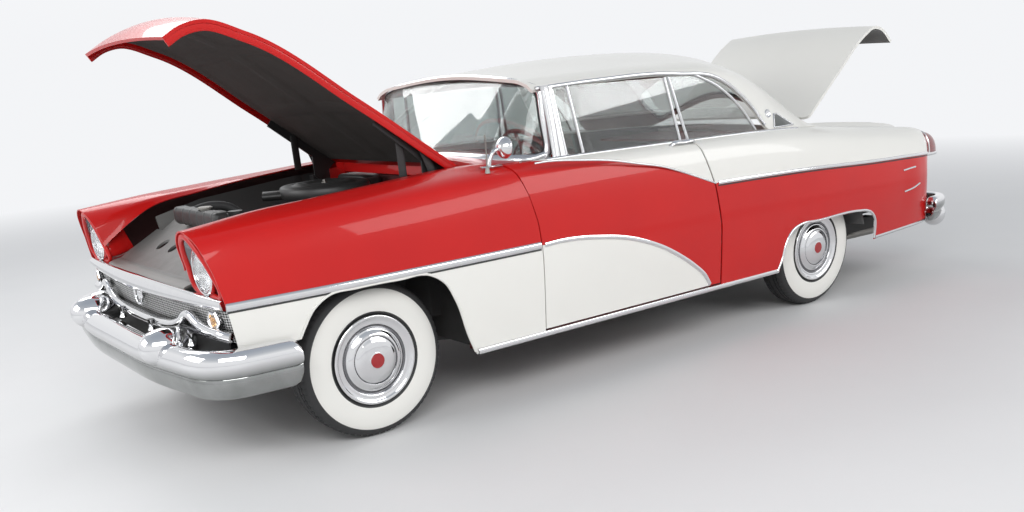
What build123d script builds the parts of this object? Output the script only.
"""A two-door hardtop family car of the middle 1950s, parked with its hood and trunk lid raised.

The car faces +X, its left side is +Y and +Z is up. The origin lies on the ground, midway between
the bumper tips. Body places are measured as on a body drawing: the distance ahead of the front
axle, the width from the centre line and the height from the ground, all in millimetres.
"""
from build123d import *
from collections import namedtuple
from math import atan2, cos, radians, sin
import os

os.makedirs("parts", exist_ok=True)

# Chassis
FRONT_AXLE = 1813
WHEELBASE = 3099
REAR_AHEAD = -WHEELBASE
HALF_TRACK_FRONT = 758
HALF_TRACK_REAR = 770
TYRE_RADIUS = 352
RIM_RADIUS = 196
RAIL_WIDTH = 70
RAIL_HEIGHT = 105
RAIL_Y_FRONT = 330

# Body
SHEET = 25
DOOR_THICK = 60
DOOR_GAP = 6
REAR_GAP = 10
HOOD_GAP = 8
SEAT_GAP = 0.3
WHEEL_WEB = 26
GLASS = 6
BELT = 1095
SILL_TOP = 318
SILL_BOTTOM = 290
FLOOR_Z = 335
FLOOR_THICK = 12
FIREWALL_AHEAD = -762
COWL_FRONT = -702
COWL_HALF = 739
NOSE_HALF = 548
VALLEY_TAPER = 0.0622
LID_HALF = 594
DECK_HALF = 590

# Hinges
HOOD_HINGE = (-680, 1161)
HOOD_OPEN = 40
LID_HINGE = (-3340, 1058)
LID_OPEN = 44


def station(ahead):
    """Car X of a place measured ahead of the front axle."""
    return FRONT_AXLE + ahead


def across(ahead):
    """Plane across the car: its x runs to the left side and its y upwards."""
    return Plane(origin=(station(ahead), 0, 0), x_dir=(0, 1, 0), z_dir=(1, 0, 0))


def lengthwise(y):
    """Plane along the car at width y: its x is the distance ahead of the front axle."""
    return Plane(origin=(FRONT_AXLE, y, 0), x_dir=(1, 0, 0), z_dir=(0, -1, 0))


def level(z):
    """Level plane at height z: its x is the distance ahead of the front axle."""
    return Plane(origin=(FRONT_AXLE, 0, z), x_dir=(1, 0, 0), z_dir=(0, 0, 1))


def save(piece, name):
    """Label a finished piece and write it as one STEP file."""
    piece.part.label = name
    export_step(piece.part, f"parts/{name}.step")


# Side of the body: one section per row, from the inner edge over the crown to the lower edge
Section = namedtuple(
    "Section", "ahead inner_y inner_z crown_y crown_z shoulder_y shoulder_z wide_y wide_z low_y low_z")
FENDER = [
    Section(770, 556, 758, 712, 1010, 832, 952, 900, 735, 868, 560),
    Section(600, 560, 884, 722, 1028, 855, 970, 912, 735, 888, 545),
    Section(417, 571, 990, 730, 1046, 870, 985, 924, 735, 905, 520),
    Section(150, 588, 1037, 738, 1063, 885, 1000, 938, 735, 925, 470),
    Section(-300, 616, 1084, 742, 1089, 893, 1026, 952, 735, 948, 290),
    Section(-700, 640, 1108, 745, 1110, 898, 1045, 958, 730, 955, 290),
    Section(-920, 745, 1098, 826, 1100, 903, 1045, 960, 725, 956, 290),
]
DOOR = [
    Section(-760, 766, 1096, 826, 1100, 903, 1045, 959, 725, 955, SILL_TOP + DOOR_GAP),
    Section(-1350, 770, 1098, 830, 1101, 908, 1045, 964, 725, 958, SILL_TOP + DOOR_GAP),
    Section(-2160, 768, 1091, 830, 1095, 910, 1038, 967, 725, 959, SILL_TOP + DOOR_GAP),
]
QUARTER = [
    Section(-1990, 745, 1093, 831, 1096, 910, 1040, 966, 725, 958, 290),
    Section(-2700, 742, 1084, 826, 1086, 915, 1018, 975, 725, 965, 290),
    Section(-3000, 715, 1080, 818, 1074, 917, 1000, 982, 722, 969, 300),
    Section(-3300, LID_HALF, 1072, 808, 1046, 916, 968, 985, 715, 966, 325),
    Section(-3800, LID_HALF, 1040, 812, 1000, 912, 930, 984, 708, 958, 352),
    Section(-4180, LID_HALF, 1000, 815, 968, 903, 890, 966, 700, 943, 364),
    Section(-4385, LID_HALF, 955, 812, 928, 880, 862, 935, 698, 918, 372),
]


def shell_points(row, wall):
    """Outer and inner corner points of one side section of the given wall thickness."""
    slope = atan2(row.crown_z - row.inner_z, row.crown_y - row.inner_y)
    turn_y = row.inner_y + 0.25 * (row.crown_y - row.inner_y)
    turn_z = row.inner_z + 0.7 * (row.crown_z - row.inner_z)
    outer = [(row.inner_y, row.inner_z), (turn_y, turn_z), (row.crown_y, row.crown_z),
             (row.shoulder_y, row.shoulder_z), (row.wide_y, row.wide_z), (row.low_y, row.low_z)]
    inward = [(sin(slope), -cos(slope)), (sin(slope), -cos(slope)), (0, -1),
              (-0.7, -0.7), (-1, 0), (-1, 0)]
    inner = [(y + wall * dy, z + wall * dz) for (y, z), (dy, dz) in zip(outer, inward)]
    return outer, inner


def shell_face(row, wall):
    """Closed section of a side panel: lines over the top, one arc down the side."""
    outer, inner = shell_points(row, wall)
    with BuildSketch(across(row.ahead)) as face:
        with BuildLine():
            Polyline(*outer[:3])
            ThreePointArc(*outer[2:5])
            Polyline(outer[4], outer[5], inner[5], inner[4])
            ThreePointArc(inner[4], inner[3], inner[2])
            Polyline(inner[2], inner[1], inner[0], outer[0])
        make_face()
    return face.sketch.face()


# Outlines cut from the sides, as distance ahead of the front axle and height
NOSE_LINE = [(752, 1100), (705, 983), (673, 860), (652, 740), (622, 572), (600, 440)]
DOOR_FRONT = [(-790, 1160), (-846, 960), (-882, 700), (-875, SILL_TOP)]
DOOR_REAR = [(-2118, SILL_TOP), (-2120, 640), (-2092, 850), (-2002, 1160)]
FRONT_ARCH = [(372, 200), (361, 536), (329, 600), (285, 664), (231, 698), (-262, 698),
              (-330, 655), (-378, 560), (-432, 383), (-505, 200)]
REAR_ARCH_RIM = 547


def door_prism(grow_front, grow_rear, y_near, y_far):
    """Solid through the door opening between two widths, grown ahead and behind by the gaps."""
    front = [(x + grow_front, z) for x, z in DOOR_FRONT]
    rear = [(x - grow_rear, z) for x, z in DOOR_REAR]
    with BuildPart() as prism:
        with BuildSketch(lengthwise(y_near)):
            with BuildLine():
                ThreePointArc(*front[:3])
                Polyline(front[2], front[3], rear[0], rear[1])
                ThreePointArc(*rear[1:])
                Line(rear[3], front[0])
            make_face()
        extrude(amount=-(y_far - y_near))
    return prism.part


def arch_points():
    """Corner points of the flat-topped rear wheel opening, centred on the rear axle."""
    return [(REAR_AHEAD + 512, 200), (REAR_AHEAD + 438, 441), (REAR_AHEAD + 405, 497),
            (REAR_AHEAD + 322, REAR_ARCH_RIM), (REAR_AHEAD - 300, REAR_ARCH_RIM),
            (REAR_AHEAD - 385, 520), (REAR_AHEAD - 437, 470), (REAR_AHEAD - 452, 410),
            (REAR_AHEAD - 446, 200)]


def mirrored(piece, name):
    """The right-hand twin of a left-hand piece, written under its own name."""
    with BuildPart() as twin:
        mirror(piece.part, about=Plane.XZ)
    save(twin, name)
    return twin


# Front fender: one shell from the headlamp pod to the door
with BuildPart() as front_fender_left:
    loft([shell_face(row, SHEET) for row in FENDER], ruled=True)
    with BuildSketch(lengthwise(400)):
        with BuildLine():
            Polyline(*NOSE_LINE, (900, 440), (900, 1100), NOSE_LINE[0])
        make_face()
    extrude(amount=-700, mode=Mode.SUBTRACT)
    with BuildSketch(lengthwise(400)):
        with BuildLine():
            Polyline(*FRONT_ARCH, FRONT_ARCH[0])
        make_face()
    extrude(amount=-700, mode=Mode.SUBTRACT)
    add(door_prism(DOOR_GAP / 2, 0, 650, 1100), mode=Mode.SUBTRACT)
    with BuildSketch(lengthwise(600)):
        with Locations((-1000, 700)):
            Rectangle(240, 1000)
    extrude(amount=-500, mode=Mode.SUBTRACT)
    with BuildSketch(level(1000)):
        with Locations((COWL_FRONT - 200, COWL_HALF + SEAT_GAP - 200)):
            Rectangle(400, 400)
    extrude(amount=300, mode=Mode.SUBTRACT)
    for low in (400, 600):
        with BuildSketch(level(low)):
            with Locations((-860, 918)):
                Rectangle(80, 45)
        extrude(amount=60)
    add(door_prism(SEAT_GAP - DOOR_GAP / 2, 0, 650, 1100), mode=Mode.SUBTRACT)
save(front_fender_left, "front_fender_left")
front_fender_right = mirrored(front_fender_left, "front_fender_right")

# Door: as thick as the whole door, with its window sill at the belt
with BuildPart() as door_left:
    loft([shell_face(row, DOOR_THICK) for row in DOOR], ruled=True)
    add(door_prism(-DOOR_GAP / 2, -REAR_GAP / 2, 650, 1100), mode=Mode.INTERSECT)
save(door_left, "door_left")
door_right = mirrored(door_left, "door_right")

# Rear quarter: from the door to the tail, with the wheel opening
with BuildPart() as quarter_panel_left:
    loft([shell_face(row, SHEET) for row in QUARTER], ruled=True)
    add(door_prism(0, REAR_GAP / 2, 650, 1100), mode=Mode.SUBTRACT)
    with BuildSketch(lengthwise(600)):
        with BuildLine():
            Polyline(*arch_points(), arch_points()[0])
        make_face()
    extrude(amount=-500, mode=Mode.SUBTRACT)
    with BuildSketch(lengthwise(500)):
        with BuildLine():
            Polyline((-4362, 1000), (-4372, 900), (-4262, 770), (-4240, 690), (-4285, 560),
                     (-4290, 490), (-4244, 350), (-4500, 300), (-4500, 1000), (-4362, 1000))
        make_face()
    extrude(amount=-700, mode=Mode.SUBTRACT)
    with BuildSketch(level(SILL_BOTTOM - 5)):
        with Locations((-2018, 900)):
            Rectangle(210, 200)
    extrude(amount=SILL_TOP - SILL_BOTTOM + 6, mode=Mode.SUBTRACT)
    with BuildSketch(level(1040)):
        with BuildLine():
            Polyline((-1980, 850), (-2030, 850), (-2052, 735), (-1980, 735), (-1980, 850))
        make_face()
    extrude(amount=80, mode=Mode.SUBTRACT)
save(quarter_panel_left, "quarter_panel_left")
quarter_panel_right = mirrored(quarter_panel_left, "quarter_panel_right")


def strip_face(y, outer, wall, tangents):
    """Closed lengthwise section of a lid: two arcs and a straight end, one wall thick."""
    inner = [(x + wall * dx, z + wall * dz) for (x, z), (dx, dz) in zip(outer, tangents)]
    with BuildSketch(lengthwise(y)) as face:
        with BuildLine():
            ThreePointArc(*outer[:3])
            ThreePointArc(*outer[2:])
            Line(outer[4], inner[4])
            ThreePointArc(inner[4], inner[3], inner[2])
            ThreePointArc(inner[2], inner[1], inner[0])
            Line(inner[0], outer[0])
        make_face()
    return face.sketch.face()


def valley(ahead):
    """Half width of the hood opening at a station."""
    return NOSE_HALF + (660 - ahead) * VALLEY_TAPER


# Hood: crowned panel whose nose turns down between the headlamp pods, raised about its hinge
HOOD_EDGE = [(-694, 1114), (-140, 1071), (400, 1000), (566, 925), (655, 778)]
HOOD_CENTRE = [(-745, 1140), (-150, 1112), (430, 1040), (612, 955), (690, 786)]
HOOD_IN = [(0, -1), (0, -1), (-0.25, -0.97), (-0.75, -0.66), (-1, -0.1)]
HOOD_AXIS = Axis((station(HOOD_HINGE[0]), 0, HOOD_HINGE[1]), (0, 1, 0))
with BuildPart() as hood:
    loft([strip_face(y, line, SHEET, HOOD_IN)
          for y, line in ((-640, HOOD_EDGE), (0, HOOD_CENTRE), (640, HOOD_EDGE))])
    with BuildSketch(level(600)):
        with BuildLine():
            Polyline((800, valley(800) - HOOD_GAP), (-800, valley(-800) - HOOD_GAP),
                     (-800, -valley(-800) + HOOD_GAP), (800, -valley(800) + HOOD_GAP),
                     (800, valley(800) - HOOD_GAP))
        make_face()
    extrude(amount=700, mode=Mode.INTERSECT)
hood.part = hood.part.rotate(HOOD_AXIS, -HOOD_OPEN)
save(hood, "hood")

# Hinge arms that carry the hood, one plate each side under its rear corners
ARM_Y = 560
ARM_PLATE = 10
with BuildPart() as hood_hinges:
    for side in (-1, 1):
        with BuildSketch(lengthwise(side * ARM_Y + ARM_PLATE / 2)):
            with BuildLine():
                Polyline((-690, 1100), (-560, 1096), (-260, 1072), (-260, 1028), (-560, 1040),
                         (-630, 960), (-664, 960), (-690, 1100))
            make_face()
        extrude(amount=ARM_PLATE)
hood_hinges.part = hood_hinges.part.rotate(HOOD_AXIS, -HOOD_OPEN)
with hood_hinges:
    add(hood.part, mode=Mode.SUBTRACT)
save(hood_hinges, "hood_hinges")

# Trunk lid: flat deck that turns down to the tail, raised about its hinge
LID_EDGE = [(-3392, 1072), (-3800, 1044), (-4195, 1000), (-4292, 905), (-4318, 760)]
LID_CENTRE = [(-3392, 1086), (-3800, 1064), (-4205, 1018), (-4310, 915), (-4338, 760)]
LID_IN = [(0, -1), (0, -1), (0.3, -0.95), (0.85, -0.5), (1, 0)]
LID_AXIS = Axis((station(LID_HINGE[0]), 0, LID_HINGE[1]), (0, 1, 0))
LID_ARM_Y = 520
LID_ARM_THICK = 8
LID_ARM_IN = 61
LID_ARM_OUT = 77
LID_ARM_TURN = 246


def hinge_point(radius, turn):
    """Point of the lid's side view at a radius and a turn, in degrees, round its hinge line."""
    return LID_HINGE[0] + radius * cos(radians(turn)), LID_HINGE[1] + radius * sin(radians(turn))


with BuildPart() as trunk_lid:
    loft([strip_face(y, line, SHEET, LID_IN)
          for y, line in ((-620, LID_EDGE), (0, LID_CENTRE), (620, LID_EDGE))])
    with BuildSketch(level(600)):
        with Locations((-3860, 0)):
            RectangleRounded(1040, 2 * (LID_HALF - HOOD_GAP), 40)
    extrude(amount=700, mode=Mode.INTERSECT)
    for side in (-1, 1):
        with BuildSketch(lengthwise(side * LID_ARM_Y + LID_ARM_THICK / 2)):
            with BuildLine():
                ThreePointArc(*[hinge_point(LID_ARM_OUT, turn) for turn in (180, 215, LID_ARM_TURN)])
                Line(hinge_point(LID_ARM_OUT, LID_ARM_TURN), hinge_point(LID_ARM_IN, LID_ARM_TURN))
                ThreePointArc(*[hinge_point(LID_ARM_IN, turn) for turn in (LID_ARM_TURN, 215, 184)])
                Polyline(hinge_point(LID_ARM_IN, 184), (-3400, 1060), hinge_point(LID_ARM_OUT, 180))
            make_face()
        extrude(amount=LID_ARM_THICK)
trunk_lid.part = trunk_lid.part.rotate(LID_AXIS, LID_OPEN)
save(trunk_lid, "trunk_lid")

# Roof: one crowned panel that runs down to the belt behind the side windows
Bow = namedtuple("Bow", "ahead crown_z corner_y corner_z knee_y knee_z edge_y edge_z")
ROOF = [
    Bow(-1062, 1512, 590, 1474, 690, 1448, 728, 1420),
    Bow(-1430, 1548, 600, 1489, 705, 1462, 742, 1434),
    Bow(-2030, 1575, 600, 1499, 708, 1468, 745, 1434),
    Bow(-2370, 1571, 600, 1486, 712, 1440, 748, 1385),
    Bow(-2620, 1553, 600, 1432, 700, 1360, 765, 1215),
    Bow(-2730, 1541, 600, 1395, 715, 1290, 800, 1089),
    Bow(-2890, 1515, 600, 1313, 705, 1220, 795, 1084),
    Bow(-3100, 1400, 580, 1200, 690, 1140, 770, 1073),
    Bow(-3235, 1260, 560, 1112, 660, 1086, 740, 1068),
]
ROOF_THICK = 30
BACKLIGHT_HALF = 590
BACKLIGHT_LOW = 1112


def roof_face(bow, wall):
    """Closed section of the roof at one bow: a flat crown arc and a rounded cant rail each side."""
    outer = [(bow.edge_y, bow.edge_z), (bow.knee_y, bow.knee_z), (bow.corner_y, bow.corner_z)]
    inner = [(bow.edge_y - wall, bow.edge_z), (bow.knee_y - 0.8 * wall, bow.knee_z - 0.8 * wall),
             (bow.corner_y - 0.3 * wall, bow.corner_z - wall)]
    with BuildSketch(across(bow.ahead)) as face:
        with BuildLine():
            for side in (-1, 1):
                out = [(side * y, z) for y, z in outer]
                ins = [(side * y, z) for y, z in inner]
                ThreePointArc(*out)
                Line(out[0], ins[0])
                ThreePointArc(*ins)
            ThreePointArc((-bow.corner_y, bow.corner_z), (0, bow.crown_z), (bow.corner_y, bow.corner_z))
            ThreePointArc((-inner[2][0], inner[2][1]), (0, bow.crown_z - wall), inner[2])
        make_face()
    return face.sketch.face()


def backlight_face(inset):
    """Rear window opening as seen from behind, rounded at its corners."""
    with BuildSketch(Plane(origin=(station(-2760), 0, 0), x_dir=(0, 1, 0), z_dir=(1, 0, 0))) as face:
        with BuildLine():
            low, high, half = BACKLIGHT_LOW + inset, 1478 - inset, BACKLIGHT_HALF - inset
            Line((-half, low), (half, low))
            ThreePointArc((half, low), (half - 60, 1290), (half - 230, high - 20))
            ThreePointArc((half - 230, high - 20), (0, high), (-half + 230, high - 20))
            ThreePointArc((-half + 230, high - 20), (-half + 60, 1290), (-half, low))
        make_face()
    return face.sketch.face()


with BuildPart() as roof:
    loft([roof_face(bow, ROOF_THICK) for bow in ROOF], ruled=True)
    extrude(backlight_face(0), amount=-700, mode=Mode.SUBTRACT)
    for side in (-1, 1):
        post = [(-1098, 741, 1101), (-1112, 712, 1438)]
        with BuildSketch(level(post[0][2])):
            with Locations((post[0][0], side * post[0][1])):
                Rectangle(50, 38)
        with BuildSketch(level(post[1][2])):
            with Locations((post[1][0], side * post[1][1])):
                Rectangle(48, 40)
        loft()
    add([quarter_panel_left.part, quarter_panel_right.part], mode=Mode.SUBTRACT)
save(roof, "roof")

# Cowl: the panel under the windshield, cut round the back of the hood
with BuildPart() as cowl:
    for ahead, edge, crown in ((COWL_FRONT, 1098, 1132), (-1150, 1099, 1140)):
        with BuildSketch(across(ahead)):
            with BuildLine():
                ThreePointArc((-COWL_HALF, edge), (0, crown), (COWL_HALF, edge))
                Polyline((COWL_HALF, edge), (COWL_HALF, edge - 60), (-COWL_HALF, edge - 60),
                         (-COWL_HALF, edge))
            make_face()
    loft()
    with BuildSketch(level(900)):
        with Locations((-1290, 0)):
            RectangleRounded(560, 1290, 30)
    extrude(amount=400, mode=Mode.SUBTRACT)
    with BuildSketch(lengthwise(-800)):
        with BuildLine():
            Polyline((-650, 1200), (-752, 1200), (-752, 1120), (-740, 1030), (-650, 1030), (-650, 1200))
        make_face()
    extrude(amount=-1600, mode=Mode.SUBTRACT)
    for side in (-1, 1):
        with BuildSketch(level(1000)):
            with BuildLine():
                Polyline((COWL_FRONT, side * 655), (COWL_FRONT, side * COWL_HALF),
                         (-760, side * COWL_HALF), (-760, side * 655), (COWL_FRONT, side * 655))
            make_face()
        extrude(amount=98)
save(cowl, "cowl")

# Windshield: one wrapped sheet between the cowl and the roof's front edge
SHIELD = {
    1110: [(-1070, 752), (-960, 712), (-880, 560), (-846, 0)],
    1500: [(-1084, 700), (-1080, 668), (-1077, 560), (-1085, 0)],
}
with BuildPart() as windshield:
    for z, points in SHIELD.items():
        with BuildSketch(level(z)):
            with BuildLine():
                inner = [(x - 1.6 * GLASS, y - 1.2 * GLASS) for x, y in points]
                for line in (points, inner):
                    far = [(x, -y) for x, y in line]
                    ThreePointArc(line[0], line[1], line[2])
                    ThreePointArc(far[0], far[1], far[2])
                    ThreePointArc(line[2], (line[3][0], 0), far[2])
                Line(points[0], inner[0])
                Line((points[0][0], -points[0][1]), (inner[0][0], -inner[0][1]))
            make_face()
    loft(ruled=True)
    with BuildSketch(across(-700)):
        with BuildLine():
            ThreePointArc((-780, 1410), (0, 1484), (780, 1410))
            Polyline((780, 1410), (780, 1090), (-780, 1090), (-780, 1410))
        make_face()
    extrude(amount=-500, mode=Mode.INTERSECT)
    add([roof.part, cowl.part], mode=Mode.SUBTRACT)
save(windshield, "windshield")

# Rear window and the fixed glass of the quarters
with BuildPart() as rear_glass:
    loft([roof_face(bow._replace(crown_z=bow.crown_z - 10, corner_z=bow.corner_z - 10,
                                 knee_z=bow.knee_z - 8, knee_y=bow.knee_y - 8, edge_y=bow.edge_y - 10),
                    GLASS) for bow in ROOF[5:]], ruled=True)
    extrude(backlight_face(SEAT_GAP), amount=-700, mode=Mode.INTERSECT)

# Side glass: the door's sheet with its vent post, and the fixed sheet behind it
GLASS_Y_LOW = 800
GLASS_Y_HIGH = 742
GLASS_TOP = 1424
DOOR_GLASS = [(-1140, BELT + 12), (-1108, 1398), (-1130, GLASS_TOP), (-1930, GLASS_TOP),
              (-1990, BELT + 12)]
QUARTER_GLASS = [(-2046, BELT + 12), (-1962, GLASS_TOP), (-2180, 1405), (-2400, 1300),
                 (-2590, BELT + 12)]


def glass_slab(side):
    """Slanted slab in which the side glass of one side lies."""
    with BuildPart() as slab:
        for z, y in ((BELT - 20, GLASS_Y_LOW + 3.5), (GLASS_TOP + 20, GLASS_Y_HIGH - 3.5)):
            with BuildSketch(level(z)):
                with Locations((-1900, side * y)):
                    Rectangle(2400, GLASS)
        loft()
    return slab.part


def side_glass(outline, side):
    """One side window cut from the slanted slab by its outline."""
    with BuildPart() as pane:
        with BuildSketch(lengthwise(side * 700)):
            with BuildLine():
                Polyline(*outline, outline[0])
            make_face()
        extrude(amount=-side * 200)
        add(glass_slab(side), mode=Mode.INTERSECT)
    return pane.part


with BuildPart() as door_left_glass:
    add(side_glass(DOOR_GLASS, 1))
    with BuildSketch(level(BELT)):
        with Locations((-1300, 800)):
            Rectangle(22, 14)
    with BuildSketch(level(GLASS_TOP)):
        with Locations((-1262, GLASS_Y_HIGH)):
            Rectangle(20, 14)
    loft()
    with BuildSketch(level(BELT - 4)):
        with Locations((-1565, 800)):
            Rectangle(870, 20)
    extrude(amount=20)
    add(door_left.part, mode=Mode.SUBTRACT)
save(door_left_glass, "door_left_glass")
door_right_glass = mirrored(door_left_glass, "door_right_glass")

with rear_glass:
    for side in (-1, 1):
        add(side_glass(QUARTER_GLASS, side))
        with BuildSketch(level(BELT - 12)):
            with Locations((-2310, side * 800)):
                Rectangle(520, 20)
        extrude(amount=26)
    add([quarter_panel_left.part, quarter_panel_right.part, roof.part], mode=Mode.SUBTRACT)
save(rear_glass, "rear_glass")

# Floor, firewall, tunnel and sills
TRUNK_HIGH = 560
TRUNK_LOW = 420
FLOOR_HALF = 860
PAN_REAR = -2300
PAN = [(FIREWALL_AHEAD, 1030), (FIREWALL_AHEAD, 560), (FIREWALL_AHEAD - 140, FLOOR_Z), (PAN_REAR, FLOOR_Z),
       (PAN_REAR, FLOOR_Z + FLOOR_THICK), (FIREWALL_AHEAD - 134, FLOOR_Z + FLOOR_THICK),
       (FIREWALL_AHEAD - FLOOR_THICK, 565), (FIREWALL_AHEAD - FLOOR_THICK, 1030)]
TRUNK_PAN = [(PAN_REAR, FLOOR_Z), (-2330, FLOOR_Z), (-2440, TRUNK_HIGH), (-3620, TRUNK_HIGH),
             (-3680, TRUNK_LOW), (-4400, TRUNK_LOW), (-4400, TRUNK_LOW + FLOOR_THICK),
             (-3690, TRUNK_LOW + FLOOR_THICK), (-3630, TRUNK_HIGH + FLOOR_THICK),
             (-2434, TRUNK_HIGH + FLOOR_THICK), (-2324, FLOOR_Z + FLOOR_THICK),
             (PAN_REAR, FLOOR_Z + FLOOR_THICK)]
TRUNK_HALF = 600
TAIL_HALF = 905
TAIL_THICK = 18
TAIL_ARC = [(-4232, TAIL_HALF), (-4296, 0), (-4232, -TAIL_HALF)]
Tunnel = namedtuple("Tunnel", "ahead half top")
TUNNEL = [Tunnel(FIREWALL_AHEAD + 4, 190, 660), Tunnel(-1050, 140, 480), Tunnel(-2400, 112, 438)]


def tunnel_solid(wall):
    """Arched tunnel for the gearbox and the drive shaft, smaller by a wall."""
    faces = []
    for t in TUNNEL:
        with BuildSketch(across(t.ahead)) as face:
            half, top, foot = t.half - wall, t.top - wall, FLOOR_Z - 20
            with BuildLine():
                Polyline((-half, top - 60), (-half - 12, foot), (half + 12, foot), (half, top - 60))
                ThreePointArc((half, top - 60), (0, top), (-half, top - 60))
            make_face()
        faces.append(face.sketch.face())
    with BuildPart() as tunnel:
        loft(faces, ruled=True)
    return tunnel.part


with BuildPart() as floor_pan:
    with BuildSketch(lengthwise(-FLOOR_HALF)):
        with BuildLine():
            Polyline(*PAN, PAN[0])
        make_face()
    extrude(amount=-2 * FLOOR_HALF)
    with BuildSketch(level(0)):
        with Locations((-700, 0)):
            Rectangle(400, 1440)
        with Locations((-1580, 0)):
            Rectangle(1500, 2 * FLOOR_HALF)
    extrude(amount=1200, mode=Mode.INTERSECT)
    add(tunnel_solid(0))
    add(tunnel_solid(FLOOR_THICK), mode=Mode.SUBTRACT)
    with BuildSketch(level(0)):
        with Locations((-1500, 0)):
            Rectangle(2000, 600)
    extrude(amount=FLOOR_Z, mode=Mode.SUBTRACT)
    for side in (-1, 1):
        for ahead, length, near, far, top in ((-1545, 2080, 838, 926, SILL_TOP),
                                              (-1580, 1500, 838, FLOOR_HALF, FLOOR_Z + FLOOR_THICK),
                                              (-1505, 1226, 838, 953, SILL_TOP)):
            with BuildSketch(level(SILL_BOTTOM)):
                with Locations((ahead, side * (near + far) / 2)):
                    Rectangle(length, far - near)
            extrude(amount=top - SILL_BOTTOM)
save(floor_pan, "floor_pan")

# Trunk floor: it steps up over the rear axle, drops to the tail and carries the wheelhouses
WHEELHOUSE_RADIUS = TYRE_RADIUS + 62
with BuildPart() as trunk_floor:
    with BuildSketch(lengthwise(-TRUNK_HALF)):
        with BuildLine():
            Polyline(*TRUNK_PAN, TRUNK_PAN[0])
        make_face()
    extrude(amount=-2 * TRUNK_HALF)
    for side in (-1, 1):
        for near, depth in ((TRUNK_HALF, 320), (TRUNK_HALF, FLOOR_THICK)):
            with BuildSketch(lengthwise(side * near)):
                with Locations((REAR_AHEAD, TYRE_RADIUS)):
                    Circle(WHEELHOUSE_RADIUS)
                    if depth > FLOOR_THICK:
                        Circle(WHEELHOUSE_RADIUS - FLOOR_THICK, mode=Mode.SUBTRACT)
                with Locations((REAR_AHEAD, 100)):
                    Rectangle(1000, 2 * (TRUNK_LOW - 80), mode=Mode.SUBTRACT)
            extrude(amount=-side * depth)
    add(tunnel_solid(-SEAT_GAP), mode=Mode.SUBTRACT)
    with BuildSketch(level(300)):
        with BuildLine():
            inner_arc = [(x + TAIL_THICK + SEAT_GAP, y) for x, y in TAIL_ARC]
            ThreePointArc(*inner_arc)
            Polyline(inner_arc[2], (inner_arc[2][0], -1000), (-2000, -1000), (-2000, 1000),
                     (inner_arc[0][0], 1000), inner_arc[0])
        make_face()
    extrude(amount=600, mode=Mode.INTERSECT)
save(trunk_floor, "trunk_floor")

# Nose: the plan of its bars, which the lock panel meets as well
NOSE_ARC = [(648, 868), (700, 0), (648, -868)]
LAMP_FOOT = 775
LAMP = (650, 723, 850)
LAMP_BOWL = 92
BAR_Z = 718
BAR_TOP = LAMP[2] - LAMP_BOWL - SEAT_GAP


def nose_strip(z, front, thick, half, height):
    """Curved bar across the nose, following its plan from side to side."""
    ends = NOSE_ARC[0][0]
    with BuildPart() as bar:
        with BuildSketch(level(z)):
            with BuildLine():
                ThreePointArc((ends + front, half), (NOSE_ARC[1][0] + front, 0), (ends + front, -half))
                Line((ends + front, -half), (ends + front - thick, -half))
                ThreePointArc((ends + front - thick, -half), (NOSE_ARC[1][0] + front - thick, 0),
                              (ends + front - thick, half))
                Line((ends + front - thick, half), (ends + front, half))
            make_face()
        extrude(amount=height)
    return bar.part


# Panels of the engine bay: aprons over the front wheels, and the lock panel across the nose
Apron = namedtuple("Apron", "ahead foot_y bend_z top_y top_z")
APRON_FOOT = 470
APRON = [Apron(395, APRON_FOOT, 800, 556, 945), Apron(150, APRON_FOOT, 800, 575, 1000),
         Apron(-405, APRON_FOOT, 800, 606, 1052),
         Apron(-455, 600, 900, 612, 1052), Apron(-690, 628, 950, 634, 1066),
         Apron(FIREWALL_AHEAD + SEAT_GAP, 632, 950, 638, 1028)]
APRON_LOW = 420
APRON_WALL = 12


def apron_face(a, side):
    """Closed section of an apron: an upright wall that leans out to the fender above its bend."""
    with BuildSketch(across(a.ahead)) as face:
        with BuildLine():
            Polyline((side * a.foot_y, APRON_LOW), (side * a.foot_y, a.bend_z), (side * a.top_y, a.top_z),
                     (side * (a.top_y + APRON_WALL), a.top_z - 8),
                     (side * (a.foot_y + APRON_WALL), a.bend_z - 5),
                     (side * (a.foot_y + APRON_WALL), APRON_LOW), (side * a.foot_y, APRON_LOW))
        make_face()
    return face.sketch.face()


with BuildPart() as bay_panels:
    for side in (-1, 1):
        loft([apron_face(a, side) for a in APRON], ruled=True)
    with BuildSketch(lengthwise(-900)):
        with Locations((0, 400)):
            Rectangle(420, 280)
    extrude(amount=-1800, mode=Mode.SUBTRACT)
    for half, line in ((544, [(640, BAR_TOP + SEAT_GAP), (640, 766), (606, 772), (560, 800), (403, 884),
                              (403, 874), (556, 790), (600, BAR_TOP + SEAT_GAP),
                              (640, BAR_TOP + SEAT_GAP)]),
                       (464, [(403, 884), (330, 930), (268, 930), (268, 922), (326, 922), (403, 874),
                              (403, 884)])):
        with BuildSketch(lengthwise(-half)):
            with BuildLine():
                Polyline(*line)
            make_face()
        extrude(amount=-2 * half)
    with BuildSketch(level(700)):
        with Locations((480, -250), (480, -90), (480, 90), (480, 250)):
            Circle(34)
    extrude(amount=300, mode=Mode.SUBTRACT)
    for side in (-1, 1):
        with BuildSketch(level(1005)):
            with Locations((-525, side * (ARM_Y + ARM_PLATE / 2 + SEAT_GAP + 25))):
                Rectangle(40, 50)
        extrude(amount=40)
save(bay_panels, "bay_panels")

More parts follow.
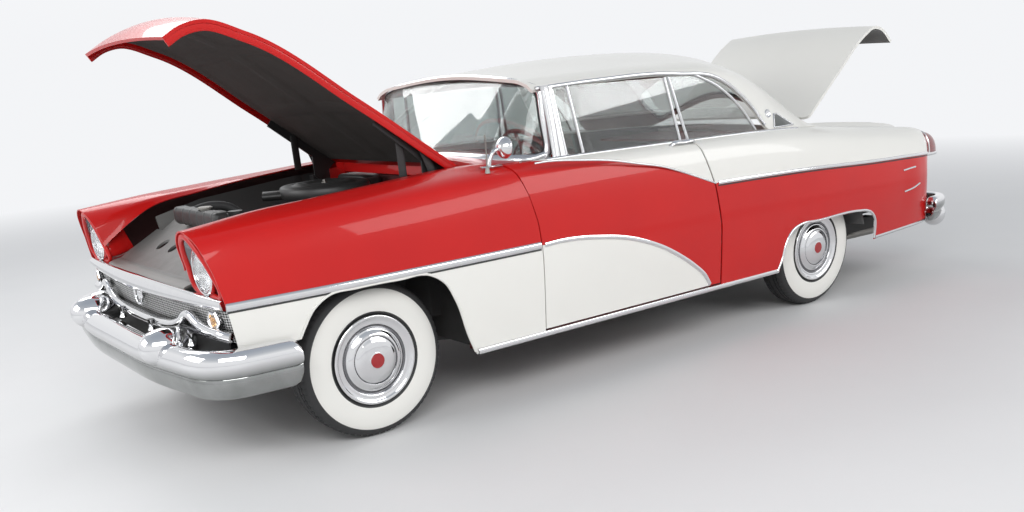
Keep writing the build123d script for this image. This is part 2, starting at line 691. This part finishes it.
# Frame: two box rails that narrow beside the engine and rise over the rear axle, with crossmembers
MEMBER_Z = 276
MEMBER_HEIGHT = 50
RAIL_PATH = [(560, 330, 330), (350, 330, 330), (-250, 345, 330), (-900, 520, 262), (-2450, 520, 262),
             (-2800, 500, 440), (-3400, 500, 440), (-3700, 500, 330), (-4200, 500, 330)]


def rail_face(ahead, y, z):
    """Box section of a rail, centred at width y and height z."""
    with BuildSketch(across(ahead)) as face:
        with Locations((y, z)):
            Rectangle(RAIL_WIDTH, 0.8 * RAIL_HEIGHT)
    return face.sketch.face()


with BuildPart() as chassis_frame:
    for side in (-1, 1):
        loft([rail_face(ahead, side * y, z) for ahead, y, z in RAIL_PATH], ruled=True)
    for ahead, half, z in ((500, 330, 330), (-1400, 500, MEMBER_Z), (-2500, 500, 290), (-3550, 480, 385),
                           (-4190, 480, 330)):
        with BuildSketch(across(ahead)):
            with Locations((0, z)):
                Rectangle(2 * half, MEMBER_HEIGHT)
        extrude(amount=60)
    with BuildSketch(level(262)):
        for ahead in (-1100, -1700, -2230):
            with Locations((ahead, -520), (ahead, 520)):
                Circle(30)
    extrude(amount=FLOOR_Z - SEAT_GAP - 262)
save(chassis_frame, "chassis_frame")

# Front suspension: crossmember, wishbones and dampers; the knuckles turn at its outer ends
KINGPIN_Y = 668
KINGPIN_HALF = 105
PIN_RADIUS = 15
ARM_THICK = 26
CROSSMEMBER_TOP = 330 - 0.4 * RAIL_HEIGHT - SEAT_GAP
ARM_LOW = TYRE_RADIUS - KINGPIN_HALF - ARM_THICK
ARM_HIGH = TYRE_RADIUS + KINGPIN_HALF
with BuildPart() as front_suspension:
    with BuildSketch(across(-70)):
        with BuildLine():
            Polyline((-400, CROSSMEMBER_TOP), (-340, 205), (340, 205), (400, CROSSMEMBER_TOP),
                     (-400, CROSSMEMBER_TOP))
        make_face()
    extrude(amount=140)
    for side in (-1, 1):
        for z, inner_y, notch in ((ARM_LOW, 330, 330), (ARM_HIGH, 400, KINGPIN_Y - 60)):
            with BuildSketch(level(z)):
                with BuildLine():
                    Polyline((-140, side * inner_y), (-26, side * KINGPIN_Y), (26, side * KINGPIN_Y),
                             (140, side * inner_y), (100, side * inner_y), (0, side * (notch + 1)),
                             (-100, side * inner_y), (-140, side * inner_y))
                make_face()
                with Locations((0, side * KINGPIN_Y)):
                    Circle(29)
            extrude(amount=ARM_THICK)
        with BuildSketch(level(275)):
            with Locations((0, side * 407)):
                Rectangle(140, 60)
        extrude(amount=ARM_HIGH - 275 + ARM_THICK)
        with BuildSketch(level(ARM_HIGH - 20)):
            with Locations((0, side * 455)):
                Rectangle(100, 150)
        extrude(amount=20)
        with BuildSketch(level(ARM_LOW + ARM_THICK)):
            with Locations((0, side * 490)):
                Circle(34)
        extrude(amount=ARM_HIGH - ARM_LOW - ARM_THICK)
save(front_suspension, "front_suspension")


def wheel_plane(ahead, y):
    """Plane through a wheel's axle: its x runs outboard along Y and its y upwards."""
    return Plane(origin=(station(ahead), y, TYRE_RADIUS), x_dir=(0, 1, 0), z_dir=(1, 0, 0))


def wheel_axis(ahead):
    """The line that a wheel spins on."""
    return Axis((station(ahead), 0, TYRE_RADIUS), (0, 1, 0))


# Steering knuckles: king pin, stub axle, backing plate and steering arm
with BuildPart() as knuckle_left:
    with BuildSketch(level(ARM_LOW + ARM_THICK + SEAT_GAP)):
        with Locations((0, KINGPIN_Y)):
            Circle(26)
    extrude(amount=2 * KINGPIN_HALF - 2 * SEAT_GAP)
    with BuildSketch(lengthwise(KINGPIN_Y)):
        with Locations((0, TYRE_RADIUS)):
            Circle(22)
    extrude(amount=-(HALF_TRACK_FRONT - KINGPIN_Y + WHEEL_WEB - SEAT_GAP))
    with BuildSketch(lengthwise(KINGPIN_Y + 38)):
        with Locations((0, TYRE_RADIUS)):
            Circle(150)
    extrude(amount=-8)
    with BuildSketch(level(TYRE_RADIUS - 70)):
        with BuildLine():
            Polyline((14, KINGPIN_Y + 8), (-165, KINGPIN_Y - 38), (-165, KINGPIN_Y - 68),
                     (14, KINGPIN_Y - 18), (14, KINGPIN_Y + 8))
        make_face()
    extrude(amount=20)
save(knuckle_left, "knuckle_left")
knuckle_right = mirrored(knuckle_left, "knuckle_right")

# Rear axle: tubes, differential, drive shaft, drums' backing plates and leaf springs
GEARBOX_TAIL = -820
GEARBOX_Z = 430
with BuildPart() as rear_axle:
    with BuildSketch(lengthwise(-HALF_TRACK_REAR + 60)):
        with Locations((REAR_AHEAD, TYRE_RADIUS)):
            Circle(42)
    extrude(amount=-2 * HALF_TRACK_REAR + 120)
    with BuildSketch(lengthwise(-HALF_TRACK_REAR - WHEEL_WEB + SEAT_GAP)):
        with Locations((REAR_AHEAD, TYRE_RADIUS)):
            Circle(22)
    extrude(amount=-2 * (HALF_TRACK_REAR + WHEEL_WEB - SEAT_GAP))
    with BuildSketch(across(REAR_AHEAD + 60)):
        with Locations((0, TYRE_RADIUS)):
            Circle(36)
    with BuildSketch(across(GEARBOX_TAIL - SEAT_GAP)):
        with Locations((0, GEARBOX_Z)):
            Circle(36)
    loft()
    with BuildSketch(wheel_plane(REAR_AHEAD, 0)):
        with BuildLine():
            ThreePointArc((-120, 0), (0, 150), (120, 0))
            Line((120, 0), (-120, 0))
        make_face()
    revolve(axis=wheel_axis(REAR_AHEAD))
    for side in (-1, 1):
        with BuildSketch(lengthwise(side * 686 + 4)):
            with Locations((REAR_AHEAD, TYRE_RADIUS)):
                Circle(150)
        extrude(amount=8)
        with BuildSketch(lengthwise(side * 590 + 28)):
            with BuildLine():
                ThreePointArc((REAR_AHEAD + 680, 300), (REAR_AHEAD, 260), (REAR_AHEAD - 680, 300))
                Line((REAR_AHEAD - 680, 300), (REAR_AHEAD - 680, 322))
                ThreePointArc((REAR_AHEAD - 680, 322), (REAR_AHEAD, 296), (REAR_AHEAD + 680, 322))
                Line((REAR_AHEAD + 680, 322), (REAR_AHEAD + 680, 300))
            make_face()
        extrude(amount=56)
        with BuildSketch(level(290)):
            with Locations((REAR_AHEAD, side * 590)):
                Rectangle(110, 90)
        extrude(amount=40)
save(rear_axle, "rear_axle")

# Wheels: tyre, and rim with drum and domed cover, on the same axle line
TYRE_HALF = [(-66, RIM_RADIUS), (-88, 226), (-95, 268), (-86, 312), (-62, 340), (-44, TYRE_RADIUS)]
COVER = [(200, 78), (190, 86), (168, 82), (152, 74), (140, 76), (118, 92), (84, 98), (46, 100), (40, 106)]
for corner, ahead, y in (("front_left", 0, HALF_TRACK_FRONT), ("front_right", 0, -HALF_TRACK_FRONT),
                         ("rear_left", REAR_AHEAD, HALF_TRACK_REAR),
                         ("rear_right", REAR_AHEAD, -HALF_TRACK_REAR)):
    out = 1 if y > 0 else -1
    with BuildPart() as tyre:
        with BuildSketch(wheel_plane(ahead, y)):
            with BuildLine():
                Polyline(*TYRE_HALF, *[(-a, r) for a, r in reversed(TYRE_HALF)], TYRE_HALF[0])
            make_face()
        revolve(axis=wheel_axis(ahead))
    save(tyre, f"tyre_{corner}")
    with BuildPart() as wheel:
        with BuildSketch(wheel_plane(ahead, y)):
            with BuildLine():
                rim = [(-out * 66, RIM_RADIUS - SEAT_GAP), (-out * 66, RIM_RADIUS - 14),
                       (out * WHEEL_WEB, RIM_RADIUS - 22), (out * WHEEL_WEB, 0), (out * 106, 0)]
                Polyline(*rim, *[(out * a, r) for r, a in reversed(COVER)],
                         (out * 74, RIM_RADIUS + 4), (out * 74, RIM_RADIUS - SEAT_GAP), rim[0])
            make_face()
        revolve(axis=wheel_axis(ahead))
        with BuildSketch(wheel_plane(ahead, y)):
            with Locations((-out * 7, 120)):
                Rectangle(66, 40)
        revolve(axis=wheel_axis(ahead))
    save(wheel, f"wheel_{corner}")

# Rear deck between the rear window and the trunk lid, with the shelf behind the seat
with BuildPart() as rear_deck:
    for ahead, edge, crown in ((-3237, 1052, 1078), (-3380, 1042, 1066)):
        with BuildSketch(across(ahead)):
            with BuildLine():
                ThreePointArc((-DECK_HALF, edge), (0, crown), (DECK_HALF, edge))
                Polyline((DECK_HALF, edge), (DECK_HALF, edge - 22), (-DECK_HALF, edge - 22),
                         (-DECK_HALF, edge))
            make_face()
    loft()
    with BuildSketch(level(1020)):
        with Locations((-2960, 0)):
            Rectangle(560, 1180)
    extrude(amount=14)
    for side in (-1, 1):
        with BuildSketch(lengthwise(side * (LID_ARM_Y + LID_ARM_THICK + SEAT_GAP) + LID_ARM_THICK / 2)):
            with BuildLine():
                Polyline((-3300, 1034), (-3330, 1000), (-3390, 1000), (-3402, 1036), (-3370, 1036),
                         (-3300, 1034))
            make_face()
        extrude(amount=LID_ARM_THICK)
save(rear_deck, "rear_deck")

# Tail panel under the trunk lid, between the quarters, with the holes of a number plate
PLATE_Z = 570
PLATE_PITCH_Y = 177.8
PLATE_PITCH_Z = 120.65
with BuildPart() as tail_panel:
    with BuildSketch(level(408)):
        with BuildLine():
            inner_arc = [(x + TAIL_THICK, y) for x, y in TAIL_ARC]
            ThreePointArc(*TAIL_ARC)
            Line(TAIL_ARC[2], inner_arc[2])
            ThreePointArc(*inner_arc)
            Line(inner_arc[0], TAIL_ARC[0])
        make_face()
    extrude(amount=332)
    with BuildSketch(across(-4400)):
        with Locations((0, PLATE_Z)):
            with GridLocations(PLATE_PITCH_Y, PLATE_PITCH_Z, 2, 2):
                Circle(3.5)
    extrude(amount=200, mode=Mode.SUBTRACT)
save(tail_panel, "tail_panel")

# Tail lamps: tall lenses in the ends of the quarters
with BuildPart() as tail_lamps:
    for side in (-1, 1):
        with BuildSketch(across(-4420)):
            with BuildLine():
                Polyline((side * 600, 775), (side * 600, 932), (side * 700, 938), (side * 800, 930),
                         (side * 880, 860), (side * 914, 775), (side * 600, 775))
            make_face()
        extrude(amount=200)
    with BuildSketch(lengthwise(-1000)):
        with BuildLine():
            Polyline((-4348, 1000), (-4358, 900), (-4248, 770), (-4232, 770), (-4340, 900),
                     (-4330, 1000), (-4348, 1000))
        make_face()
    extrude(amount=-2000, mode=Mode.INTERSECT)
    for side in (-1, 1):
        with BuildSketch(level(795)):
            with Locations((-4315, side * 822)):
                RectangleRounded(110, 64, 28)
        with BuildSketch(level(884)):
            with Locations((-4355, side * 806)):
                RectangleRounded(90, 46, 20)
        loft()
    add([quarter_panel_left.part, quarter_panel_right.part], mode=Mode.SUBTRACT)
save(tail_lamps, "tail_lamps")

# Grille: woven panel under one wide bar, with a low wing bar
with BuildPart() as grille:
    add(nose_strip(590, -20, 12, 840, 150))
    add(nose_strip(BAR_Z, -14, 40, 882, BAR_TOP - BAR_Z))
    add(nose_strip(582, -10, 30, 700, 26))
save(grille, "grille")

# Headlamps: bezel, bowl and domed lens in the mouth of each fender
with BuildPart() as headlamps:
    for side in (-1, 1):
        with BuildSketch(across(600)):
            with BuildLine():
                Polyline((side * 590, LAMP_FOOT), (side * 640, 945), (side * 712, 972), (side * 812, 912),
                         (side * 862, LAMP_FOOT), (side * 590, LAMP_FOOT))
            make_face()
        extrude(amount=140)
    with BuildSketch(lengthwise(-1000)):
        with BuildLine():
            Polyline((700, 1000), (655, 860), (634, 768), (646, 768), (668, 860), (712, 1000), (700, 1000))
        make_face()
    extrude(amount=-2000, mode=Mode.INTERSECT)
    for side in (-1, 1):
        with BuildSketch(across(LAMP[0] - 90)):
            with Locations((side * LAMP[1], LAMP[2])):
                Circle(60)
        with BuildSketch(across(LAMP[0])):
            with Locations((side * LAMP[1], LAMP[2])):
                Circle(LAMP_BOWL)
        loft()
        with BuildSketch(Plane(origin=(station(LAMP[0]), side * LAMP[1], LAMP[2]), x_dir=(0, 1, 0),
                               z_dir=(1, 0, 0))):
            Circle(89)
        extrude(amount=14, taper=35)
save(headlamps, "headlamps")

# Bumpers: a deep rolled section that wraps to the wheels, with pods on the front
BUMPER_TOP = 560
BUMPER_WALL = 14
Roll = namedtuple("Roll", "out z in_y in_z")
FRONT_ROLL = [Roll(0, 0, 0, -1), Roll(40, -10, -0.6, -0.8), Roll(58, -60, -1, 0),
              Roll(40, -105, -1, 0), Roll(34, -130, -1, 0), Roll(20, -190, -1, 0.3),
              Roll(0, -205, 0, 1)]
REAR_ROLL = [Roll(0, 0, 0, -1), Roll(34, -10, -0.6, -0.8), Roll(48, -50, -1, 0),
             Roll(34, -92, -1, 0), Roll(24, -140, -1, 0), Roll(0, -165, 0, 1)]
FRONT_PLAN = [(400, 932), (742, 905), (838, 380), (838, -380), (742, -905), (400, -932)]
REAR_PLAN = [(-4306, -926), (-4402, -890), (-4490, -380), (-4490, 380), (-4402, 890), (-4306, 926)]


def bumper_body(plan, roll, top, corner):
    """Rolled section carried round a plan path; its points step outwards and down from the top."""
    with BuildLine(level(top)) as rail:
        FilletPolyline(*plan, radius=corner)
    start = rail.line @ 0
    heading = rail.line % 0
    with BuildPart() as body:
        with BuildSketch(Plane(origin=start, x_dir=(-heading.Y, heading.X, 0), z_dir=heading)):
            with BuildLine():
                outer = [(r.out, r.z) for r in roll]
                inner = [(r.out + BUMPER_WALL * r.in_y, r.z + BUMPER_WALL * r.in_z) for r in roll]
                Polyline(*outer, *reversed(inner), outer[0])
            make_face()
        sweep(path=rail.line)
    return body.part


IRON_Z = 372 + SEAT_GAP
IRON_FRONT = 855
POD = (806, 470, -20)
POD_RADIUS = 78
POD_POLE = 5
BALL = [(-1.5, 0.06), (-1.3, 0.42), (-0.9, 0.74), (-0.4, 0.94), (0, 1), (0.45, 0.92), (0.85, 0.6), (1.1, 0.06)]
with BuildPart() as front_bumper:
    add(bumper_body(FRONT_PLAN, FRONT_ROLL, BUMPER_TOP, 160))
    for side in (-1, 1):
        middle = (station(POD[0]), side * POD[1], BUMPER_TOP + POD[2])
        with BuildSketch(Plane(origin=middle, x_dir=(1, 0, 0), z_dir=(0, 0, 1))):
            with BuildLine():
                Polyline((110, 0), (110, POD_POLE), (92, 34), (62, 60), (20, POD_RADIUS), (-25, 64),
                         (-60, POD_POLE), (-60, 0), (110, 0))
            make_face()
        revolve(axis=Axis(middle, (1, 0, 0)))
        with BuildSketch(level(IRON_Z)):
            with Locations(((430 + IRON_FRONT) / 2, side * RAIL_Y_FRONT)):
                Rectangle(IRON_FRONT - 430, 50)
        extrude(amount=28)
save(front_bumper, "front_bumper")

REAR_TOP = 520
with BuildPart() as rear_bumper:
    add(bumper_body(REAR_PLAN, REAR_ROLL, REAR_TOP, 80))
    for side in (-1, 1):
        for z, radius in ((365, 82), (482, 44)):
            middle = (station(-4370), side * 872, z)
            with BuildSketch(Plane(origin=middle, x_dir=(1, 0, 0), z_dir=(0, 0, 1))):
                with BuildLine():
                    Polyline(*[(along * radius, out * radius) for along, out in BALL],
                             (1.1 * radius, 0), (-1.5 * radius, 0), (BALL[0][0] * radius, BALL[0][1] * radius))
                make_face()
            revolve(axis=Axis(middle, (1, 0, 0)))
        with BuildSketch(level(IRON_Z)):
            with BuildLine():
                Polyline((-4150, side * 475), (-4487, side * 475), (-4479, side * 525),
                         (-4150, side * 525), (-4150, side * 475))
            make_face()
        extrude(amount=28)
save(rear_bumper, "rear_bumper")

# Chrome strips along the sides, the sills and the belt
Strip = namedtuple("Strip", "ahead_0 z_0 ahead_1 z_1 y_0 y_1 y_2 tall")
STRIPS = [Strip(655, 706, -874, 712, 922, 952, 961, 28), Strip(-470, 289, -2600, 289, 954, 958, 964, 26),
          Strip(-2112, 852, -4240, 800, 956, 981, 950, 18)]
with BuildPart() as body_trim:
    for side in (-1, 1):
        for s in STRIPS:
            middle = (s.ahead_0 + s.ahead_1) / 2
            with BuildSketch(level(0)):
                with BuildLine():
                    ThreePointArc((s.ahead_0, side * s.y_0), (middle, side * s.y_1), (s.ahead_1, side * s.y_2))
                    Line((s.ahead_1, side * s.y_2), (s.ahead_1, side * (s.y_2 + 9)))
                    ThreePointArc((s.ahead_1, side * (s.y_2 + 9)), (middle, side * (s.y_1 + 9)),
                                  (s.ahead_0, side * (s.y_0 + 9)))
                    Line((s.ahead_0, side * (s.y_0 + 9)), (s.ahead_0, side * s.y_0))
                make_face()
            extrude(amount=1200)
    with BuildSketch(lengthwise(-1000)):
        for s in STRIPS:
            with BuildLine():
                Polyline((s.ahead_0, s.z_0), (s.ahead_1, s.z_1), (s.ahead_1, s.z_1 + s.tall),
                         (s.ahead_0, s.z_0 + s.tall), (s.ahead_0, s.z_0))
            make_face()
    extrude(amount=-2000, mode=Mode.INTERSECT)
    add([front_fender_left.part, front_fender_right.part, quarter_panel_left.part,
         quarter_panel_right.part], mode=Mode.SUBTRACT)
save(body_trim, "body_trim")

# Seats: two full-width benches, each a cushion and a back
Bench = namedtuple("Bench", "name front rear floor heel under top back_top half")
for b in (Bench("front_seat", -1500, -2010, FLOOR_Z + FLOOR_THICK, -1700, FLOOR_Z + FLOOR_THICK, 590, 900, 640),
          Bench("rear_seat", -2230, -2640, FLOOR_Z + FLOOR_THICK, -2320, TRUNK_HIGH + FLOOR_THICK, 610, 970, 590)):
    with BuildPart() as seat:
        with BuildSketch(lengthwise(-b.half)):
            with BuildLine():
                Polyline((b.front, b.floor + 120), (b.front + 20, b.top - 30), (b.front - 30, b.top),
                         (b.rear + 90, b.top - 15), (b.rear - 10, b.back_top - 25),
                         (b.rear - 50, b.back_top), (b.rear - 95, b.back_top - 20),
                         (b.rear - 60, b.under + SEAT_GAP), (b.heel - 98, b.under + SEAT_GAP), (b.heel, b.floor + 120),
                         (b.front, b.floor + 120))
            make_face()
        extrude(amount=-2 * b.half)
        with BuildSketch(level(FLOOR_Z)):
            with Locations((-2000, 0)):
                Rectangle(1100, 300)
        extrude(amount=130, mode=Mode.SUBTRACT)
    save(seat, b.name)

# Dashboard, and the steering wheel on its column
with BuildPart() as dashboard:
    with BuildSketch(lengthwise(-612)):
        with BuildLine():
            Polyline((-1010 - SEAT_GAP, 1092), (-1090, 1098), (-1150, 1060), (-1158, 980), (-1136, 912),
                     (-1122, 912), (-1143, 980), (-1135, 1050), (-1088, 1083),
                     (-1010 - SEAT_GAP, 1078), (-1010 - SEAT_GAP, 1092))
        make_face()
    extrude(amount=-1224)
save(dashboard, "dashboard")

COLUMN_Y = 365
COLUMN_TOP = (-1330, 985)
COLUMN_SLOPE = 32
with BuildPart() as steering_wheel:
    lean = radians(COLUMN_SLOPE)
    face = Plane(origin=(station(COLUMN_TOP[0]), COLUMN_Y, COLUMN_TOP[1]), x_dir=(0, 1, 0),
                 z_dir=(-cos(lean), 0, sin(lean)))
    with BuildSketch(face):
        Circle(36)
    extrude(amount=18)
    with BuildSketch(face):
        Circle(24)
    extrude(amount=-640)
    with BuildSketch(Plane(origin=face.origin, x_dir=(0, 1, 0), z_dir=face.x_dir.cross(face.z_dir))):
        with Locations((212, 0)):
            Circle(12)
    revolve(axis=Axis(face.origin, face.z_dir))
    with BuildSketch(face.offset(-8)):
        Rectangle(2 * 208, 22)
    extrude(amount=14)
save(steering_wheel, "steering_wheel")

# Engine: block, heads and sump with the gearbox behind it, and the round air cleaner on top
ENGINE_FRONT = 60
ENGINE_REAR = -560
with BuildPart() as engine:
    with BuildSketch(across(ENGINE_REAR)):
        with BuildLine():
            Polyline((-150, 430), (-120, 330), (120, 330), (150, 430), (170, 560), (330, 720),
                     (235, 820), (120, 740), (-120, 740), (-235, 820), (-330, 720), (-170, 560),
                     (-150, 430))
        make_face()
    extrude(amount=ENGINE_FRONT - ENGINE_REAR)
    with BuildSketch(level(738)):
        with Locations((-250, 0)):
            RectangleRounded(420, 190, 30)
    extrude(amount=130)
    with BuildSketch(level(866)):
        with Locations((-330, 0)):
            Circle(60)
    extrude(amount=60)
    with BuildSketch(level(925)):
        with Locations((-330, 0)):
            Circle(205)
    extrude(amount=62)
    fillet(engine.edges().filter_by(GeomType.CIRCLE).group_by(SortBy.RADIUS)[-1], 18)
    with BuildSketch(across(ENGINE_REAR)):
        with Locations((0, 450)):
            Circle(170)
    with BuildSketch(across(GEARBOX_TAIL)):
        with Locations((0, GEARBOX_Z)):
            Circle(85)
    loft()
    with BuildSketch(across(ENGINE_FRONT)):
        with Locations((0, 620)):
            Circle(60)
        with Locations((0, 430)):
            Circle(82)
    extrude(amount=45)
    with BuildSketch(across(ENGINE_FRONT + 45)):
        with Locations((0, 620)):
            Circle(22)
            with PolarLocations(0, 4):
                with Locations((110, 0)):
                    Rectangle(200, 70)
    extrude(amount=10)
    with BuildSketch(level(CROSSMEMBER_TOP + SEAT_GAP)):
        with Locations((0, -95), (0, 95)):
            Rectangle(70, 50)
    extrude(amount=400 - CROSSMEMBER_TOP)
save(engine, "engine")

# Radiator: core between its tanks, with filler neck, shroud sides and hoses
RADIATOR_AHEAD = 190
RADIATOR_HALF = 285
with BuildPart() as radiator:
    with BuildSketch(across(RADIATOR_AHEAD)):
        with Locations((0, 640)):
            Rectangle(2 * RADIATOR_HALF, 500)
    extrude(amount=60)
    with BuildSketch(across(RADIATOR_AHEAD - 15)):
        with Locations((0, 920)):
            RectangleRounded(2 * RADIATOR_HALF, 90, 30)
        with Locations((0, 385)):
            RectangleRounded(2 * RADIATOR_HALF, 50, 20)
    extrude(amount=90)
    with BuildSketch(level(960)):
        with Locations((RADIATOR_AHEAD + 30, 60)):
            Circle(34)
    extrude(amount=26)
    for side in (-1, 1):
        with BuildSketch(across(RADIATOR_AHEAD + 10)):
            with Locations((side * (RADIATOR_HALF + APRON_FOOT - SEAT_GAP) / 2, 640)):
                Rectangle(APRON_FOOT - SEAT_GAP - RADIATOR_HALF, 520)
        extrude(amount=8)
save(radiator, "radiator")

# Exhaust and fuel tank under the floor
with BuildPart() as exhaust:
    with BuildLine() as pipe:
        FilletPolyline((station(-500), 250, 300), (station(-1200), 300, 215), (station(-3600), 300, 212),
                       (station(-4420), 420, 236), radius=200)
    with BuildSketch(Plane(origin=pipe.line @ 0, z_dir=pipe.line % 0)):
        Circle(26)
    sweep(path=pipe.line)
    with BuildSketch(across(-2350)):
        with Locations((300, 218)):
            Ellipse(105, 62)
    extrude(amount=620)
    with BuildSketch(level(215)):
        with Locations((-1370, 300)):
            Rectangle(20, 30)
    extrude(amount=MEMBER_Z - MEMBER_HEIGHT / 2 - SEAT_GAP - 215)
save(exhaust, "exhaust")

with BuildPart() as fuel_tank:
    with BuildSketch(level(262)):
        with Locations((-3905, 0)):
            RectangleRounded(400, 760, 60)
    extrude(amount=TRUNK_LOW - 262 - SEAT_GAP)
    chamfer(fuel_tank.edges().group_by(Axis.Z)[0], 20)
save(fuel_tank, "fuel_tank")

# Mirror on the left fender, and the whip antenna
with BuildPart() as mirror_and_antenna:
    with BuildSketch(level(1082)):
        with Locations((-720, 800)):
            Circle(14)
    extrude(amount=100)
    add(front_fender_left.part, mode=Mode.SUBTRACT)
    with BuildSketch(across(-760)):
        with Locations((800, 1175)):
            Circle(38)
    extrude(amount=34)
save(mirror_and_antenna, "mirror_and_antenna")
